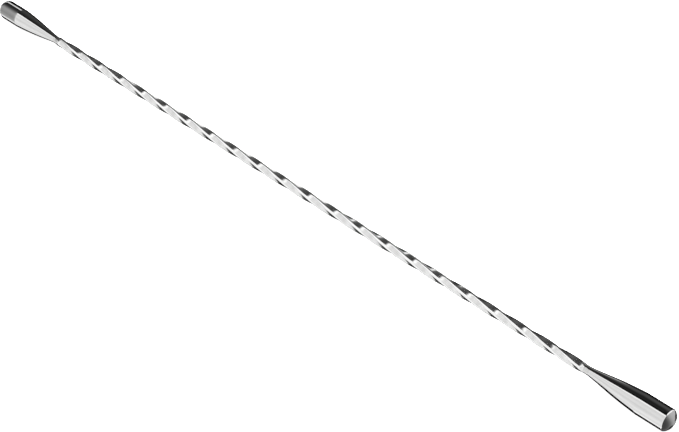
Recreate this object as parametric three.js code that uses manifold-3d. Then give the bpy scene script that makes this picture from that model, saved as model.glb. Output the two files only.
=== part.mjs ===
// Double-ended bar stirrer: a twisted square steel bar with a solid turned weight welded on each end.
// Units are millimetres and +Z is up. The stirrer lies along X with its larger weight towards +X.
// The origin is under the middle of its length, on the surface that the larger weight rests on.

import * as THREE from 'three';
import { mergeVertices } from 'three/addons/utils/BufferGeometryUtils.js';
import Module from 'manifold-3d';

// Driving dimensions
const overallLength = 440;
const fitGap = 0.1; // clearance kept between pieces that meet
const turnedSides = 24; // facets round each turned piece, with one facet facing straight down
const weightFacets = 6; // facets along each curve of a weight's outline
const weldFacets = 3; // facets along a weld bead's outline

const bar = {
  acrossFlats: 4.2,
  cornerRadius: 1.0,
  lead: 65.5, // length of one full turn of the right-handed twist
  cornerAngleAtMiddle: 34.8, // degrees from +Y to the nearest corner at the middle of the length
  wander: 7.9, // degrees by which the twist runs behind or ahead of an even one
  wanderLength: 340, // length of one cycle of that unevenness
  spigotRadius: 1.4,
  spigotLength: 10,
  spigotClearance: 3, // from the end of a spigot to the bottom of its bore
  trim: 1, // length that the lathe removes beyond each spigot
  twistStep: 10, // degrees of twist in one step of the model
};

// Each weight is measured from the tip of its domed end towards the bar.
const largeWeight = {
  radius: 5.5,
  domeHeight: 3.0,
  rimRadius: 0.5,
  cylinderEnd: 17.4,
  shoulderPull: new THREE.Vector2(4.12, 34.0),
  neckPull: new THREE.Vector2(3.6, 32.7),
  neckRadius: 2.16,
  length: 45,
};
const smallWeight = {
  radius: 5.1,
  domeHeight: 3.4,
  rimRadius: 0.9,
  cylinderEnd: 15.4,
  shoulderPull: new THREE.Vector2(4.26, 28.0),
  neckPull: new THREE.Vector2(2.5, 36.6),
  neckRadius: 2.03,
  length: 42,
};

// The ground weld beads: length along the bar, radius where the bead meets the bar's shoulder,
// and length of the cone that the grinding leaves on the bar's corners.
const largeWeld = { length: 3.0, shoulderRadius: 2.06, coneLength: 2.2 };
const smallWeld = { length: 1.4, shoulderRadius: 1.94, coneLength: 3.4 };

// Derived places along X
const largeMouthX = overallLength / 2 - largeWeight.length;
const smallMouthX = -overallLength / 2 + smallWeight.length;
const largeShoulderX = largeMouthX - largeWeld.length;
const smallShoulderX = smallMouthX + smallWeld.length;
const axisHeight = largeWeight.radius;

const wasm = await Module();
wasm.setup();

const polishedSteel = () => new THREE.MeshStandardMaterial({ color: 0xc9cac8, roughness: 0.08, metalness: 1 });
const groundSteel = () => new THREE.MeshStandardMaterial({ color: 0xb4b5b3, roughness: 0.3, metalness: 1 });

function toSolid(geometry) {
  const positionsOnly = geometry.clone();
  positionsOnly.deleteAttribute('normal');
  positionsOnly.deleteAttribute('uv');
  const merged = mergeVertices(positionsOnly);
  return new wasm.Manifold(new wasm.Mesh({
    numProp: 3,
    vertProperties: merged.attributes.position.array,
    triVerts: new Uint32Array(merged.index.array),
  }));
}

function toGeometry(solid) {
  const mesh = solid.getMesh();
  const geometry = new THREE.BufferGeometry();
  geometry.setAttribute('position', new THREE.BufferAttribute(new Float32Array(mesh.vertProperties), 3));
  geometry.setIndex(new THREE.BufferAttribute(new Uint32Array(mesh.triVerts), 1));
  geometry.computeVertexNormals();
  return geometry;
}

// Turns an outline about Y. Its points are (radius, height), and each radius is the distance to a facet.
function turned(outline) {
  const cornerReach = 1 / Math.cos(Math.PI / turnedSides);
  const points = outline.map((point) => new THREE.Vector2(point.x * cornerReach, point.y));
  return new THREE.LatheGeometry(points, turnedSides, Math.PI / turnedSides);
}

// Degrees from +Y to the corner of the bar's square, at a place x along its length.
function cornerAngle(x) {
  const even = 360 * x / bar.lead;
  const unevenness = -bar.wander * Math.sin(2 * Math.PI * x / bar.wanderLength);
  return bar.cornerAngleAtMiddle + even + unevenness;
}

function roundedSquare(acrossFlats, cornerRadius) {
  const half = acrossFlats / 2;
  const arcCentre = half - cornerRadius;
  const square = new THREE.Shape();
  for (let corner = 0; corner < 4; corner += 1) {
    const start = corner * Math.PI / 2;
    const towards = start + Math.PI / 4;
    const centreX = Math.SQRT2 * arcCentre * Math.cos(towards);
    const centreY = Math.SQRT2 * arcCentre * Math.sin(towards);
    square.absarc(centreX, centreY, cornerRadius, start, start + Math.PI / 2, false);
  }
  square.closePath();
  return square;
}

// The square bar, twisted along its whole length, before its ends are turned down.
function twistedBlank(startX, endX) {
  const steps = Math.ceil((endX - startX) * 360 / bar.lead / bar.twistStep);
  const geometry = new THREE.ExtrudeGeometry(roundedSquare(bar.acrossFlats, bar.cornerRadius), {
    depth: endX - startX,
    steps,
    curveSegments: 1, // two facets round each eased corner
    bevelEnabled: false,
  });
  // The extrusion runs along Z, and its section's corner starts 45 degrees from its first axis.
  const position = geometry.attributes.position;
  const point = new THREE.Vector3();
  for (let index = 0; index < position.count; index += 1) {
    point.fromBufferAttribute(position, index);
    const x = startX + point.z;
    const turn = THREE.MathUtils.degToRad(cornerAngle(x) - 45);
    const y = point.x * Math.cos(turn) - point.y * Math.sin(turn);
    const z = point.x * Math.sin(turn) + point.y * Math.cos(turn);
    position.setXYZ(index, x, y, z);
  }
  return geometry;
}

// The space that the lathe leaves of the bar: a spigot and a coned shoulder at each end.
function turningEnvelope() {
  const clearRadius = bar.acrossFlats;
  const cornerReach = bar.acrossFlats / Math.SQRT2 - bar.cornerRadius * (Math.SQRT2 - 1);
  const coneSlope = (weld) => (cornerReach - weld.shoulderRadius) / weld.coneLength;
  const coneReach = (weld) => (clearRadius - weld.shoulderRadius) / coneSlope(weld);
  const outline = [
    new THREE.Vector2(0, smallShoulderX - bar.spigotLength),
    new THREE.Vector2(bar.spigotRadius, smallShoulderX - bar.spigotLength),
    new THREE.Vector2(bar.spigotRadius, smallShoulderX),
    new THREE.Vector2(smallWeld.shoulderRadius, smallShoulderX),
    new THREE.Vector2(clearRadius, smallShoulderX + coneReach(smallWeld)),
    new THREE.Vector2(clearRadius, largeShoulderX - coneReach(largeWeld)),
    new THREE.Vector2(largeWeld.shoulderRadius, largeShoulderX),
    new THREE.Vector2(bar.spigotRadius, largeShoulderX),
    new THREE.Vector2(bar.spigotRadius, largeShoulderX + bar.spigotLength),
    new THREE.Vector2(0, largeShoulderX + bar.spigotLength),
  ];
  return turned(outline).rotateZ(-Math.PI / 2);
}

function twistedShaft() {
  const blank = twistedBlank(
    smallShoulderX - bar.spigotLength - bar.trim,
    largeShoulderX + bar.spigotLength + bar.trim,
  );
  return toGeometry(toSolid(blank).intersect(toSolid(turningEnvelope())));
}

// A solid weight: dome, rim, cylinder and taper, with a blind bore for the spigot in its narrow mouth.
// Its height runs from the mouth at 0 to the tip of the dome at its length.
function endWeight(weight) {
  const height = (fromTip) => weight.length - fromTip;
  const domeRadius = (weight.radius ** 2 + weight.domeHeight ** 2) / (2 * weight.domeHeight);
  const domeCentre = height(domeRadius);
  const domeEdge = Math.acos((domeRadius - weight.domeHeight) / domeRadius);
  const rimSpan = weight.rimRadius / domeRadius;
  const boreRadius = bar.spigotRadius + fitGap;
  const boreDepth = bar.spigotLength + bar.spigotClearance;

  const outline = new THREE.Path();
  outline.moveTo(0, boreDepth);
  outline.lineTo(boreRadius, boreDepth);
  outline.lineTo(boreRadius, 0);
  outline.lineTo(weight.neckRadius, 0);
  outline.bezierCurveTo(
    weight.neckPull.x, height(weight.neckPull.y),
    weight.shoulderPull.x, height(weight.shoulderPull.y),
    weight.radius, height(weight.cylinderEnd),
  );
  outline.lineTo(weight.radius, height(weight.domeHeight + weight.rimRadius));
  outline.quadraticCurveTo(
    weight.radius, height(weight.domeHeight),
    domeRadius * Math.sin(domeEdge - rimSpan), domeCentre + domeRadius * Math.cos(domeEdge - rimSpan),
  );
  outline.absarc(0, domeCentre, domeRadius, Math.PI / 2 - domeEdge + rimSpan, Math.PI / 2, false);
  const points = outline.getPoints(weightFacets);
  points[points.length - 1].x = 0;
  return turned(points);
}

// A ring of weld metal, ground round, that fills the space between a weight's mouth and the bar's shoulder.
// Its height runs from the shoulder at 0 to the mouth at its length.
function weldBead(weld, weight) {
  const boreRadius = bar.spigotRadius + fitGap;
  const outline = new THREE.Path();
  outline.moveTo(boreRadius, fitGap);
  outline.lineTo(weld.shoulderRadius, fitGap);
  outline.quadraticCurveTo(
    weld.shoulderRadius, weld.length / 2,
    weight.neckRadius, weld.length - fitGap,
  );
  outline.lineTo(boreRadius, weld.length - fitGap);
  outline.lineTo(boreRadius, fitGap);
  return turned(outline.getPoints(weldFacets));
}

function named(name, geometry, material, x = 0, turnAboutZ = 0) {
  const mesh = new THREE.Mesh(geometry, material);
  mesh.name = name;
  mesh.position.set(x, 0, axisHeight);
  mesh.rotation.set(0, 0, turnAboutZ);
  return mesh;
}

const towardsPlusX = -Math.PI / 2;
const towardsMinusX = Math.PI / 2;

const stirrer = new THREE.Group();
stirrer.add(named('twisted_shaft', twistedShaft(), polishedSteel()));
stirrer.add(named('large_end_weight', endWeight(largeWeight), polishedSteel(), largeMouthX, towardsPlusX));
stirrer.add(named('small_end_weight', endWeight(smallWeight), polishedSteel(), smallMouthX, towardsMinusX));
stirrer.add(named('large_end_weld', weldBead(largeWeld, largeWeight), groundSteel(), largeShoulderX, towardsPlusX));
stirrer.add(named('small_end_weld', weldBead(smallWeld, smallWeight), groundSteel(), smallShoulderX, towardsMinusX));

export default stirrer;
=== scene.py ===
import math

import bpy
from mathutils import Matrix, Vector, noise


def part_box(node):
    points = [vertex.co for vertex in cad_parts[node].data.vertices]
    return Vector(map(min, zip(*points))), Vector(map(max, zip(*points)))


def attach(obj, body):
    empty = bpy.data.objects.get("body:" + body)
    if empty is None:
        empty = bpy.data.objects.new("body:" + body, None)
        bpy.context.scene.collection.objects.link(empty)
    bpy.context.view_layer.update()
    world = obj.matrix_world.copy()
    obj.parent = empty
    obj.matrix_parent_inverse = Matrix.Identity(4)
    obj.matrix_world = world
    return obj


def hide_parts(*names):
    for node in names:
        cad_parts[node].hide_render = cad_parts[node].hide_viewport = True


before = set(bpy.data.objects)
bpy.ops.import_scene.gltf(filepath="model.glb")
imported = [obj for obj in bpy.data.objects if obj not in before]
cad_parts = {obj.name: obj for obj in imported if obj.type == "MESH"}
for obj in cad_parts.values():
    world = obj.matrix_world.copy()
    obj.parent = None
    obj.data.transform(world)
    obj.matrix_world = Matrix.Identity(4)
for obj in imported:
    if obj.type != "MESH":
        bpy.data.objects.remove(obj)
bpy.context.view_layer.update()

# ---------------------------------------------------------------------------
# Measures, in metres. Places along X and the height of the axis come from the frame.

MM = 0.001

large_low, large_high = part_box("large_end_weight")
small_low, small_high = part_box("small_end_weight")
AXIS_HEIGHT = (large_low.z + large_high.z) / 2
LARGE_TIP, LARGE_MOUTH = large_high.x, large_low.x
SMALL_TIP, SMALL_MOUTH = small_low.x, small_high.x

FIT_GAP = 0.1 * MM
SPIGOT_RADIUS = 1.4 * MM
SPIGOT_LENGTH = 10 * MM
BORE_RADIUS = SPIGOT_RADIUS + FIT_GAP
BORE_DEPTH = 13 * MM

# The twisted bar
ACROSS_FLATS = 4.2 * MM
CORNER_RADIUS = 1.0 * MM
FACE_CROWN = 0.006 * MM
LEAD = 65.5 * MM
CORNER_ANGLE_AT_MIDDLE = math.radians(34.8)
WANDER = math.radians(7.9)
WANDER_LENGTH = 340 * MM

# Each weight: places are measured from the tip of its dome towards the bar.
LARGE = {
    "tip": LARGE_TIP, "towards_bar": -1, "radius": (large_high.z - large_low.z) / 2,
    "dome": 3.0 * MM, "rim": 0.5 * MM, "cylinder_end": 17.4 * MM,
    "pulls": [(34.0 * MM, 4.12 * MM), (32.7 * MM, 3.6 * MM)],
    "neck": 2.16 * MM, "length": LARGE_TIP - LARGE_MOUTH,
    "weld": 3.0 * MM, "shoulder": 2.06 * MM, "cone": 2.2 * MM,
}
SMALL = {
    "tip": SMALL_TIP, "towards_bar": 1, "radius": (small_high.z - small_low.z) / 2,
    "dome": 3.4 * MM, "rim": 0.9 * MM, "cylinder_end": 15.4 * MM,
    "pulls": [(28.0 * MM, 4.26 * MM), (36.6 * MM, 2.5 * MM)],
    "neck": 2.03 * MM, "length": SMALL_MOUTH - SMALL_TIP,
    "weld": 1.4 * MM, "shoulder": 1.94 * MM, "cone": 3.4 * MM,
}
LARGE_SHOULDER = LARGE_MOUTH - LARGE["weld"]
SMALL_SHOULDER = SMALL_MOUTH + SMALL["weld"]

# Hand polishing: the depth of its unevenness, and how long that is along the stirrer
WEIGHT_POLISH = (8e-6, 6 * MM)
BAR_POLISH = (14e-6, 5 * MM)
WELD_POLISH = (30e-6, 1.2 * MM)
UNPOLISHED_RADIUS = 0.3 * MM

# Fineness of the meshes
ROUND_SEGMENTS = 144
DOME_STEPS, RIM_STEPS, CYLINDER_STEPS, TAPER_STEPS = 24, 8, 24, 56
WELD_STEPS = 24
CORNER_STEPS, FACE_STEPS = 8, 8
BAR_STEP = 0.5 * MM
SHARP_ANGLE = math.radians(40)


# ---------------------------------------------------------------------------
# Mesh building

def add_object(name, data):
    obj = bpy.data.objects.new(name, data)
    bpy.context.scene.collection.objects.link(obj)
    return obj


def add_mesh(name, verts, faces):
    mesh = bpy.data.meshes.new(name)
    mesh.from_pydata([tuple(v) for v in verts], [], faces)
    return add_object(name, mesh)


def add_piece(name, verts, faces):
    piece = add_mesh(name, verts, faces)
    piece.data.validate()
    piece.data.shade_smooth()
    piece.data.set_sharp_from_angle(angle=SHARP_ANGLE)
    return piece


def skin_rings(rings, closed_loop=False):
    """Faces between rings of equal size. Rings run towards +X and turn from +Y to +Z."""
    count = len(rings[0])
    verts = [v for ring in rings for v in ring]
    faces = []
    for i in range(len(rings) if closed_loop else len(rings) - 1):
        here = i * count
        ahead = (i + 1) % len(rings) * count
        for k in range(count):
            n = (k + 1) % count
            faces.append((here + k, here + n, ahead + n, ahead + k))
    if closed_loop:
        return verts, faces
    for ring, base, flip in ((rings[0], 0, True), (rings[-1], (len(rings) - 1) * count, False)):
        centre = len(verts)
        verts.append(sum((Vector(v) for v in ring), Vector()) / count)
        for k in range(count):
            n = (k + 1) % count
            faces.append((base + n, base + k, centre) if flip else (base + k, base + n, centre))
    return verts, faces


def bezier(p0, p1, p2, p3, count):
    points = []
    for i in range(count + 1):
        t = i / count
        s = 1 - t
        points.append(tuple(
            s ** 3 * a + 3 * s ** 2 * t * b + 3 * s * t ** 2 * c + t ** 3 * d
            for a, b, c, d in zip(p0, p1, p2, p3)
        ))
    return points


def ring_at(x, radius):
    ring = []
    for k in range(ROUND_SEGMENTS):
        angle = 2 * math.pi * k / ROUND_SEGMENTS
        ring.append((x, radius * math.cos(angle), AXIS_HEIGHT + radius * math.sin(angle)))
    return ring


def hand_polish(verts, depth, length, seed):
    """Moves vertices along the radius, from 1.5 depths inwards to half a depth outwards.

    The middles of end caps stay where they are. Seeds give each piece its own unevenness.
    """
    moved = []
    for v in verts:
        v = Vector(v)
        radial = Vector((0, v.y, v.z - AXIS_HEIGHT))
        if radial.length > UNPOLISHED_RADIUS:
            spot = Vector((v.x / length + seed, v.y / length * 2, v.z / length * 2))
            v = v + radial.normalized() * depth * (noise.noise(spot) - 0.5)
        moved.append(v)
    return moved


# ---------------------------------------------------------------------------
# The weights

def mouth_of(w):
    """The place along X where a weight ends and its weld begins."""
    return w["tip"] + w["towards_bar"] * w["length"]


def weight_outline(w):
    """Points (distance from the tip, radius) from the tip to the mouth."""
    radius, dome, rim = w["radius"], w["dome"], w["rim"]
    sphere = (radius ** 2 + dome ** 2) / (2 * dome)
    edge = math.asin(radius / sphere)
    stop = edge - rim / sphere
    points = []
    for i in range(1, DOME_STEPS + 1):
        angle = stop * i / DOME_STEPS
        points.append((sphere * (1 - math.cos(angle)), sphere * math.sin(angle)))
    start = points[-1]
    corner = (dome, radius)
    end = (dome + rim, radius)
    for i in range(1, RIM_STEPS + 1):
        t = i / RIM_STEPS
        points.append(tuple(
            (1 - t) ** 2 * a + 2 * (1 - t) * t * b + t ** 2 * c for a, b, c in zip(start, corner, end)
        ))
    for i in range(1, CYLINDER_STEPS + 1):
        points.append((end[0] + (w["cylinder_end"] - end[0]) * i / CYLINDER_STEPS, radius))
    taper = bezier((w["cylinder_end"], radius), *w["pulls"], (w["length"], w["neck"]), TAPER_STEPS)
    return points + taper[1:]


def build_weight(name, w, seed):
    mouth = mouth_of(w)
    rings = [ring_at(w["tip"] + w["towards_bar"] * place, radius) for place, radius in weight_outline(w)]
    rings.append(ring_at(mouth, BORE_RADIUS))
    rings.append(ring_at(mouth - w["towards_bar"] * BORE_DEPTH, BORE_RADIUS))
    if w["towards_bar"] < 0:
        rings.reverse()
    verts, faces = skin_rings(rings)
    return add_piece(name, hand_polish(verts, *WEIGHT_POLISH, seed), faces)


# ---------------------------------------------------------------------------
# The twisted bar

def corner_angle(x):
    even = CORNER_ANGLE_AT_MIDDLE + 2 * math.pi * x / LEAD
    return even - WANDER * math.sin(2 * math.pi * x / WANDER_LENGTH)


def square_section():
    """Points (angle, radius) of the eased square with faintly crowned faces, first corner at angle 0."""
    half = ACROSS_FLATS / 2
    flat = half - CORNER_RADIUS
    crown_radius = (flat ** 2 + FACE_CROWN ** 2) / (2 * FACE_CROWN)
    tilt = math.asin(flat / crown_radius)
    # One quarter: the corner between the faces that look along +X and +Y, then the whole +Y face
    centre = max(half - FACE_CROWN - CORNER_RADIUS * math.cos(tilt), flat - CORNER_RADIUS * math.sin(tilt))
    quarter = []
    for i in range(CORNER_STEPS + 1):
        angle = tilt + (math.pi / 2 - 2 * tilt) * i / CORNER_STEPS
        quarter.append((centre + CORNER_RADIUS * math.cos(angle), centre + CORNER_RADIUS * math.sin(angle)))
    face_x, face_y = quarter[-1]
    face_edge = math.sqrt(1 - (face_x / crown_radius) ** 2)
    for i in range(1, FACE_STEPS):
        x = face_x * (1 - 2 * i / FACE_STEPS)
        rise = crown_radius * (math.sqrt(1 - (x / crown_radius) ** 2) - face_edge)
        quarter.append((x, face_y + rise))
    points = []
    for corner in range(4):
        turn = corner * math.pi / 2 - math.pi / 4
        points += [(math.atan2(y, x) + turn, math.hypot(x, y)) for x, y in quarter]
    return points


def cone_radius(x):
    """The radius that the ground cones at the bar's two ends leave at x."""
    reach = ACROSS_FLATS / math.sqrt(2) - CORNER_RADIUS * (math.sqrt(2) - 1)
    large = LARGE["shoulder"] + (reach - LARGE["shoulder"]) * (LARGE_SHOULDER - x) / LARGE["cone"]
    small = SMALL["shoulder"] + (reach - SMALL["shoulder"]) * (x - SMALL_SHOULDER) / SMALL["cone"]
    return min(large, small)


def bar_ring(x, section, limit):
    """The twisted section at x, turned down to the limit."""
    turn = corner_angle(x)
    ring = []
    for angle, reach in section:
        r = min(reach, limit)
        ring.append((x, r * math.cos(angle + turn), AXIS_HEIGHT + r * math.sin(angle + turn)))
    return ring


def build_bar(name, seed):
    section = square_section()
    steps = round((LARGE_SHOULDER - SMALL_SHOULDER) / BAR_STEP)
    rings = [
        bar_ring(SMALL_SHOULDER - SPIGOT_LENGTH, section, SPIGOT_RADIUS),
        bar_ring(SMALL_SHOULDER, section, SPIGOT_RADIUS),
    ]
    for i in range(steps + 1):
        x = SMALL_SHOULDER + (LARGE_SHOULDER - SMALL_SHOULDER) * i / steps
        rings.append(bar_ring(x, section, cone_radius(x)))
    rings.append(bar_ring(LARGE_SHOULDER, section, SPIGOT_RADIUS))
    rings.append(bar_ring(LARGE_SHOULDER + SPIGOT_LENGTH, section, SPIGOT_RADIUS))
    verts, faces = skin_rings(rings)
    return add_piece(name, hand_polish(verts, *BAR_POLISH, seed), faces)


# ---------------------------------------------------------------------------
# The welds

def build_weld(name, w, seed):
    mouth = mouth_of(w)
    outward = w["towards_bar"]
    rings = [ring_at(mouth, BORE_RADIUS)]
    for i in range(WELD_STEPS + 1):
        t = i / WELD_STEPS
        radius = w["neck"] + (w["shoulder"] - w["neck"]) * math.sin(math.pi / 2 * t)
        rings.append(ring_at(mouth + outward * w["weld"] * t, radius))
    rings.append(ring_at(mouth + outward * w["weld"], BORE_RADIUS))
    if outward < 0:
        rings.reverse()
    verts, faces = skin_rings(rings, closed_loop=True)
    return add_piece(name, hand_polish(verts, *WELD_POLISH, seed), faces)


# ---------------------------------------------------------------------------
# Shader nodes

class Nodes:
    """Adds nodes to one tree. An input is a socket to link or a value to set."""

    def __init__(self, tree):
        self.tree = tree

    def fill(self, node, inputs):
        for key, value in inputs.items():
            if isinstance(value, bpy.types.NodeSocket):
                self.tree.links.new(value, node.inputs[key])
            else:
                node.inputs[key].default_value = value

    def add(self, kind, inputs=None, **settings):
        node = self.tree.nodes.new(kind)
        for key, value in settings.items():
            setattr(node, key, value)
        self.fill(node, inputs or {})
        return node

    def coordinates(self, kind):
        return self.add("ShaderNodeTexCoord").outputs[kind]

    def xyz(self, vector):
        return self.add("ShaderNodeSeparateXYZ", {0: vector}).outputs

    def math(self, operation, first, second=0.0, third=0.0):
        values = {0: first, 1: second, 2: third}
        return self.add("ShaderNodeMath", values, operation=operation).outputs[0]

    def product(self, first, *others):
        for other in others:
            first = self.math("MULTIPLY", first, other)
        return first

    def vector_math(self, operation, inputs, output):
        return self.add("ShaderNodeVectorMath", inputs, operation=operation).outputs[output]

    def blend(self, value, low, high):
        """0 below low, 1 above high, smooth between them. Low may be the greater."""
        limits = {"Value": value, "From Min": low, "From Max": high}
        return self.add("ShaderNodeMapRange", limits, interpolation_type="SMOOTHSTEP").outputs[0]

    def spread(self, value, low, high, to_low, to_high):
        limits = {"Value": value, "From Min": low, "From Max": high, "To Min": to_low, "To Max": to_high}
        return self.add("ShaderNodeMapRange", limits).outputs[0]

    def mix(self, factor, first, second):
        """Numbers mixed by a factor."""
        return self.add("ShaderNodeMix", {0: factor, 2: first, 3: second}, data_type="FLOAT").outputs[0]

    def ramp(self, value, stops):
        """Grey levels at given values, straight between them."""
        low, high = stops[0][0], stops[-1][0]
        position = self.spread(value, low, high, 0.0, 1.0)
        node = self.add("ShaderNodeValToRGB", {0: position})
        elements = node.color_ramp.elements
        elements.remove(elements[-1])
        elements[0].position = 0.0
        elements[0].color = (stops[0][1],) * 3 + (1,)
        for at, level in stops[1:]:
            elements.new((at - low) / (high - low)).color = (level, level, level, 1)
        return node.outputs[0]


def new_material(name):
    """A material, its nodes, and the shader among them."""
    material = bpy.data.materials.new(name)
    material.use_nodes = True
    return material, Nodes(material.node_tree), material.node_tree.nodes["Principled BSDF"]


# ---------------------------------------------------------------------------
# Materials

SMEARS_PER_METRE = (160, 420, 420)
SMEARED_TONE = 0.93
WORN_BLEND = 0.08 * MM
WORN_ROUGHNESS = 0.04
UNWORN_METALLIC = 0.98


def steel(name, colour, smooth, rough, relief, across, along, lead=0.0, worn_from=None):
    """Steel with marks that run along X, or round it with the twist where there is a lead.

    The marks are across wide and along long, in metres, and relief deep. Roughness lies between smooth and
    rough. Farther than worn_from from the axis, handling has worn the surface brighter and smoother.
    """
    material, nodes, shader = new_material(name)
    place = nodes.coordinates("Object")
    if lead:
        turn = nodes.math("MULTIPLY", nodes.xyz(place)["X"], -2 * math.pi / lead)
        spin = {"Vector": place, "Center": (0, 0, AXIS_HEIGHT), "Angle": turn}
        place = nodes.add("ShaderNodeVectorRotate", spin, rotation_type="X_AXIS").outputs[0]
    stretched = {"Vector": place, "Scale": (1 / along, 1 / across, 1 / across)}
    marks_at = nodes.add("ShaderNodeMapping", stretched).outputs[0]
    fine_noise = {"Vector": marks_at, "Scale": 1.0, "Detail": 5.0, "Roughness": 0.6}
    marks = nodes.add("ShaderNodeTexNoise", fine_noise)
    smears_at = nodes.add("ShaderNodeMapping", {"Vector": place, "Scale": SMEARS_PER_METRE}).outputs[0]
    smears = nodes.add("ShaderNodeTexNoise", {"Vector": smears_at, "Scale": 1.0, "Detail": 3.0})
    # The sum of the two noises lies mostly between 0.7 and 1.3.
    both = nodes.math("ADD", marks.outputs[0], smears.outputs[0])
    roughness = nodes.spread(both, 0.75, 1.3, smooth, rough)
    level = nodes.spread(both, 0.7, 1.3, 1.0, SMEARED_TONE)
    tone = nodes.vector_math("SCALE", {0: colour, "Scale": level}, 0)
    metallic = 1.0
    if worn_from:
        centred = nodes.vector_math("ADD", {0: place, 1: (0, 0, -AXIS_HEIGHT)}, 0)
        round_axis = nodes.vector_math("MULTIPLY", {0: centred, 1: (0, 1, 1)}, 0)
        reach = nodes.vector_math("LENGTH", {0: round_axis}, "Value")
        worn = nodes.blend(reach, worn_from, worn_from + WORN_BLEND)
        bright = nodes.add("ShaderNodeMix", {0: worn, 6: tone, 7: (1, 1, 1, 1)}, data_type="RGBA")
        tone = bright.outputs[2]
        roughness = nodes.mix(worn, roughness, WORN_ROUGHNESS)
        metallic = nodes.mix(worn, UNWORN_METALLIC, 1.0)
    height = nodes.add("ShaderNodeBump", {"Height": marks.outputs[0], "Strength": 1.0, "Distance": relief})
    nodes.fill(shader, {
        "Base Color": tone, "Roughness": roughness, "Metallic": metallic, "Normal": height.outputs[0],
    })
    return material


bar_steel = steel(
    "drawn_steel", (0.83, 0.83, 0.825), smooth=0.14, rough=0.24,
    relief=1.2e-6, across=0.35 * MM, along=9 * MM, lead=LEAD, worn_from=2.36 * MM,
)
weight_steel = steel(
    "buffed_steel", (0.79, 0.79, 0.785), smooth=0.03, rough=0.09,
    relief=0.8e-6, across=0.45 * MM, along=14 * MM,
)
weld_steel = steel(
    "ground_steel", (0.74, 0.74, 0.73), smooth=0.08, rough=0.2,
    relief=3e-6, across=0.5 * MM, along=0.7 * MM,
)


# ---------------------------------------------------------------------------
# Assembly. The last number of each build is the seed of its hand polishing.

bar = build_bar("twisted_shaft_polished", 3.7)
large_weight = build_weight("large_end_weight_polished", LARGE, 1.3)
small_weight = build_weight("small_end_weight_polished", SMALL, 8.1)
large_weld = build_weld("large_end_weld_ground", LARGE, 4.4)
small_weld = build_weld("small_end_weld_ground", SMALL, 6.2)

pieces = (
    (bar, "twisted_shaft", "shaft_steel", bar_steel),
    (large_weight, "large_end_weight", "weight_steel", weight_steel),
    (small_weight, "small_end_weight", "weight_steel", weight_steel),
    (large_weld, "large_end_weld", "weld_steel", weld_steel),
    (small_weld, "small_end_weld", "weld_steel", weld_steel),
)
for piece, node, slot, material in pieces:
    piece.data.materials.append(material)
    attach(piece, "root")
    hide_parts(node)


# ---------------------------------------------------------------------------
# Floor

def panel(name, verts, faces, material):
    obj = add_mesh(name, verts, faces)
    obj.data.materials.append(material)
    return obj


FLOOR_REACH = 3.0
floor_white, floor_nodes, floor_shader = new_material("floor_white")
floor_nodes.fill(floor_shader, {
    "Base Color": (0.9, 0.9, 0.9, 1), "Roughness": 0.9,
    "Emission Color": (1, 1, 1, 1), "Emission Strength": 0.8,
})
floor_corners = [(x * FLOOR_REACH, y * FLOOR_REACH, 0) for x, y in ((-1, -1), (1, -1), (1, 1), (-1, 1))]
floor = panel("floor", floor_corners, [(0, 1, 2, 3)], floor_white)
floor.visible_glossy = False


# ---------------------------------------------------------------------------
# Curved cards close to the stirrer, seen only as reflections. Each is part of a tube round the axis.

STUDIO_STRENGTH = 1.14  # multiplies every light level of the cards and of the studio round them
CARD_STEP = 5.0  # degrees round the tube in one face of a card


def height_angle_of(nodes, y, z):
    """The angle in the plane across the bar, in degrees from -105 to 255.

    0 is level on the -Y side, 90 is straight up and 180 is level on the +Y side.
    """
    angle = nodes.math("DEGREES", nodes.math("ARCTAN2", z, nodes.math("MULTIPLY", y, -1.0)))
    return nodes.math("MULTIPLY_ADD", nodes.math("LESS_THAN", angle, -105.0), 360.0, angle)


def curved_card(name, from_axis, ends, fades, levels):
    """Ends and fades are at low X, then at high X. Levels are pairs of a height angle and a light level."""
    first, last = levels[0][0], levels[-1][0]
    steps = round((last - first) / CARD_STEP)
    verts = []
    for i in range(steps + 1):
        angle = math.radians(first + (last - first) * i / steps)
        y, z = -from_axis * math.cos(angle), AXIS_HEIGHT + from_axis * math.sin(angle)
        verts += [(ends[0], y, z), (ends[1], y, z)]
    faces = [(2 * i, 2 * i + 1, 2 * i + 3, 2 * i + 2) for i in range(steps)]
    material, nodes, shader = new_material(name)
    place = nodes.xyz(nodes.coordinates("Object"))
    angle = height_angle_of(nodes, place["Y"], nodes.math("SUBTRACT", place["Z"], AXIS_HEIGHT))
    low = nodes.blend(place["X"], ends[0], ends[0] + fades[0])
    high = nodes.blend(place["X"], ends[1], ends[1] - fades[1])
    nodes.fill(shader, {
        "Base Color": (0, 0, 0, 1), "Specular IOR Level": 0, "Alpha": nodes.product(low, high),
        "Emission Color": nodes.ramp(angle, levels), "Emission Strength": STUDIO_STRENGTH,
    })
    card = panel(name, verts, faces, material)
    card.visible_camera = False
    card.visible_diffuse = False
    card.visible_shadow = False


# The far weight: grey in front of it, dark above, and a thin white line behind
curved_card("card_at_small_end", 35 * MM, (-330 * MM, -229.0 * MM), (1 * MM, 3 * MM), [
    (-36, 0.42), (-20, 0.35), (8, 0.28), (45, 0.35), (58, 0.30), (66, 0.22), (77, 0.11), (89, 0.04),
    (101, 0.027), (118, 0.01), (123, 0.01), (128, 0.85), (139, 0.85), (144, 0.008), (255, 0.006),
])
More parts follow.
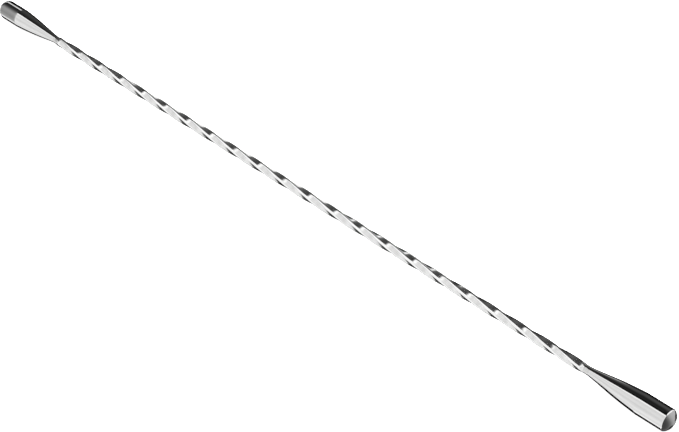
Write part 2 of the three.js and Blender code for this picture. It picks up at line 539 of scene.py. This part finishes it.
# The light that the bar's upper corners pick up, and the start and the light notch of its dark wedges
curved_card("card_behind_bar", 60 * MM, (-176 * MM, -8 * MM), (24 * MM, 2 * MM), [
    (158, 0.2), (164, 1.0), (245, 1.0),
])
curved_card("card_above_bar", 60 * MM, (-205 * MM, 125 * MM), (5 * MM, 5 * MM), [
    (70, 1.1), (86, 1.1),
])
curved_card("strip_behind_bar", 60 * MM, (-8 * MM, 76 * MM), (1 * MM, 18 * MM), [
    (140, 0.05), (145, 1.0), (157, 1.0), (161, 0.05),
])
# The faint greys in the dark upper half of each weight
curved_card("grey_card_at_small_end", 35 * MM, (-228 * MM, -188 * MM), (1 * MM, 10 * MM), [
    (84, 0.006), (94, 0.018), (106, 0.028), (125, 0.045), (140, 0.052), (155, 0.045), (165, 0.02),
    (200, 0.015),
])
curved_card("grey_card_at_large_end", 31 * MM, (148 * MM, 206.5 * MM), (6 * MM, 1 * MM), [
    (84, 0.006), (88, 0.008), (93, 0.022), (103, 0.014), (113, 0.018), (123, 0.045), (134, 0.07),
    (139, 0.07),
])
# The dark line low on each weight
curved_card("low_card_at_small_end", 35 * MM, (-330 * MM, -195 * MM), (1 * MM, 8 * MM), [
    (-104, 0.006), (-60, 0.006), (-57, 1.05), (-54, 1.05), (-46, 0.8), (-37, 0.8),
])
curved_card("low_card_at_large_end", 35 * MM, (176 * MM, 212 * MM), (8 * MM, 1 * MM), [
    (-104, 0.006), (-59, 0.006),
])
# A grey band along the upper edge of the near weight
curved_card("strip_at_large_end", 30 * MM, (156 * MM, 184 * MM), (3 * MM, 14 * MM), [
    (139, 0.07), (146, 0.32), (160, 0.32), (167, 0.05),
])


# ---------------------------------------------------------------------------
# Studio: what surrounds the stirrer, by direction

# By height angle: for directions across the bar, and for those that point steeply past its small end
ROUND_THE_BAR = [
    (-105, 1.05), (-54, 1.05), (-46, 0.80), (-12, 0.90), (4, 0.78), (16, 0.72), (28, 0.82), (44, 0.81),
    (57, 0.74), (66, 0.84), (69, 1.1), (76, 1.1), (77, 0.006), (86, 0.006), (100, 0.008), (120, 0.03),
    (138, 0.07), (155, 0.07), (166, 0.03), (176, 0.008), (192, 0.008), (205, 0.025), (255, 0.015),
]
TOWARDS_SMALL_END = [
    (-105, 0.02), (-80, 0.03), (-70, 0.8), (-46, 0.7), (-30, 0.6), (30, 0.56), (62, 0.45), (74, 0.04),
    (255, 0.02),
]
# Past the large end, by how far a direction leans towards the +Y side and a little upwards
PAST_LARGE_END = [
    (-1.0, 0.05), (-0.5, 0.06), (-0.25, 0.09), (0.0, 0.18), (0.2, 0.32), (0.45, 0.44), (0.8, 0.52),
    (1.0, 0.52),
]

world = bpy.data.worlds.new("studio")
bpy.context.scene.world = world
world.use_nodes = True
nodes = Nodes(world.node_tree)
direction = nodes.xyz(nodes.coordinates("Generated"))
along, across, up = (direction[axis] for axis in "XYZ")
height_angle = height_angle_of(nodes, across, up)

# Dark below, up to an edge that is lower where a direction points less towards the small end
dark_below = nodes.spread(along, -0.65, -0.25, -44.0, -78.0)
low_light = nodes.blend(height_angle, dark_below, nodes.math("ADD", dark_below, 4.0))
side_on = nodes.product(nodes.ramp(height_angle, ROUND_THE_BAR), low_light)
small_end = nodes.ramp(height_angle, TOWARDS_SMALL_END)
sides = nodes.mix(nodes.blend(along, -0.78, -0.70), small_end, side_on)

tilted = nodes.math("MULTIPLY_ADD", across, 0.95, nodes.math("MULTIPLY", up, 0.3))
large_end = nodes.ramp(tilted, PAST_LARGE_END)
# White behind the large end, which its rim picks up
rim_reach = nodes.spread(height_angle, 148.0, 172.0, 0.62, 0.28)
rim_white = nodes.product(
    nodes.blend(along, rim_reach, nodes.math("SUBTRACT", rim_reach, 0.12)),
    nodes.blend(height_angle, 196.0, 182.0),
    nodes.blend(height_angle, 80.0, 90.0),
)
large_end = nodes.mix(rim_white, large_end, 1.1)
# A dark edge low behind it, with a gap
gap = nodes.product(nodes.blend(height_angle, 220.0, 225.0), nodes.blend(height_angle, 240.0, 235.0))
low_edge = nodes.product(
    nodes.blend(along, 0.62, 0.5),
    nodes.blend(height_angle, 190.0, 200.0),
    nodes.math("SUBTRACT", 1.0, gap),
)
large_end = nodes.mix(low_edge, large_end, 0.03)
# White in front of it
front_white = nodes.product(
    nodes.blend(height_angle, 77.0, 72.0),
    nodes.blend(height_angle, -62.0, -56.0),
    nodes.blend(along, 0.34, 0.28),
)
large_end = nodes.mix(front_white, large_end, 1.0)

level = nodes.mix(nodes.blend(along, -0.02, 0.12), sides, large_end)
# A camera that looks past the floor's edge sees plain white, and reflections see the levels above.
level = nodes.mix(nodes.add("ShaderNodeLightPath").outputs["Is Camera Ray"], level, 1.0)
nodes.fill(world.node_tree.nodes["Background"], {"Color": level, "Strength": STUDIO_STRENGTH})

KEY_SIZE = 2.0
KEY_POWER = 60
KEY_HEIGHT = 1.8
key_data = bpy.data.lights.new("key", "AREA")
key_data.shape = "DISK"
key_data.size = KEY_SIZE
key_data.energy = KEY_POWER
key = add_object("key", key_data)
key.location = (0, 0, KEY_HEIGHT)
key.visible_glossy = False
key.visible_camera = False

bpy.context.scene.view_settings.view_transform = "Standard"


# ---------------------------------------------------------------------------
# Camera

CAMERA_TURN = math.radians(42.58)  # from straight in front towards the large end
CAMERA_RISE = math.radians(42.58)
CAMERA_DISTANCE = 0.9738
FOCAL_LENGTH = 108.32
SENSOR_WIDTH = 36
AIM = Vector((0.0250, -0.0001, AXIS_HEIGHT))

to_camera = Vector((
    math.sin(CAMERA_TURN) * math.cos(CAMERA_RISE),
    -math.cos(CAMERA_TURN) * math.cos(CAMERA_RISE),
    math.sin(CAMERA_RISE),
))
camera_data = bpy.data.cameras.new("camera")
camera_data.sensor_width = SENSOR_WIDTH
camera_data.lens = FOCAL_LENGTH
camera = add_object("camera", camera_data)
camera.location = AIM + to_camera * CAMERA_DISTANCE
camera.rotation_euler = to_camera.to_track_quat("Z", "Y").to_euler()
bpy.context.scene.camera = camera
